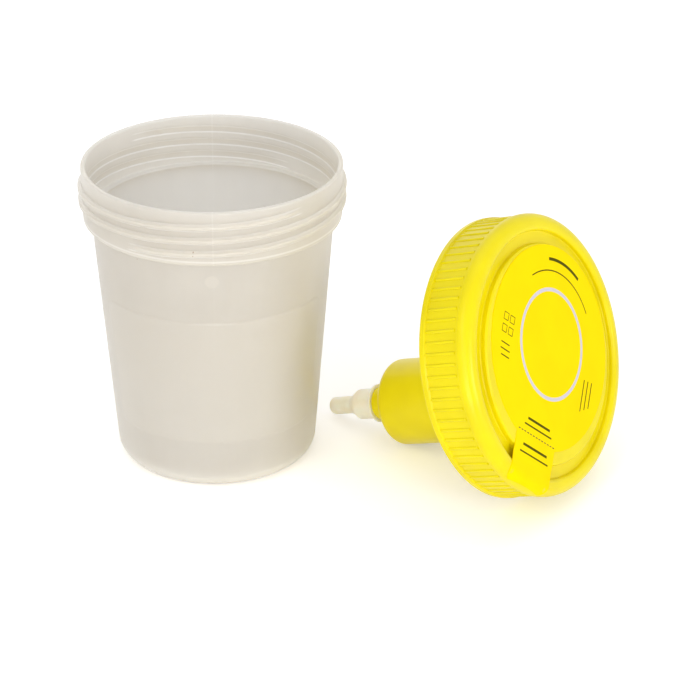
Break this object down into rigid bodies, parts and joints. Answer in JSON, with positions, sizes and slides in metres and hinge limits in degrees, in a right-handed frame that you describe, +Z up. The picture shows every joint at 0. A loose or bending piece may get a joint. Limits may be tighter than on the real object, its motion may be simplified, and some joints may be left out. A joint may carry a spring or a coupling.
{
  "type": "specimen container",
  "caption": "Tapered screw-top specimen cup, open, with its ribbed lid lying beside it; a tube well, needle and inlet spout hang from the lid under a label.",
  "frame": {"origin": "middle of the cup's foot ring, on the surface it stands on", "axes": "+Z up along the cup's axis; the lid lies towards +X and a little towards -Y, with its face turned away from the cup and up"},
  "size_m": [0.1438, 0.0893, 0.0826],
  "materials": {
    "natural_plastic": "translucent natural moulding, satin",
    "yellow_plastic": "satin gloss moulding",
    "cream_plastic": "satin moulding, slightly translucent",
    "needle_steel": "drawn tube",
    "sleeve_rubber": "matt",
    "label_film": "printed adhesive film, half matt"
  },
  "bodies": {
    "cup": {"cup": "natural_plastic"},
    "lid": {"lid_shell": "yellow_plastic", "needle_hub": "cream_plastic", "needle": "needle_steel", "needle_sleeve": "sleeve_rubber", "label": "label_film"}
  },
  "joints": [
    {"name": "lid_lift", "type": "slide", "parent": "cup", "child": "lid", "axis": [0.7897, -0.5128, 0.3367], "range_m": [0, 0.1]}
  ]
}
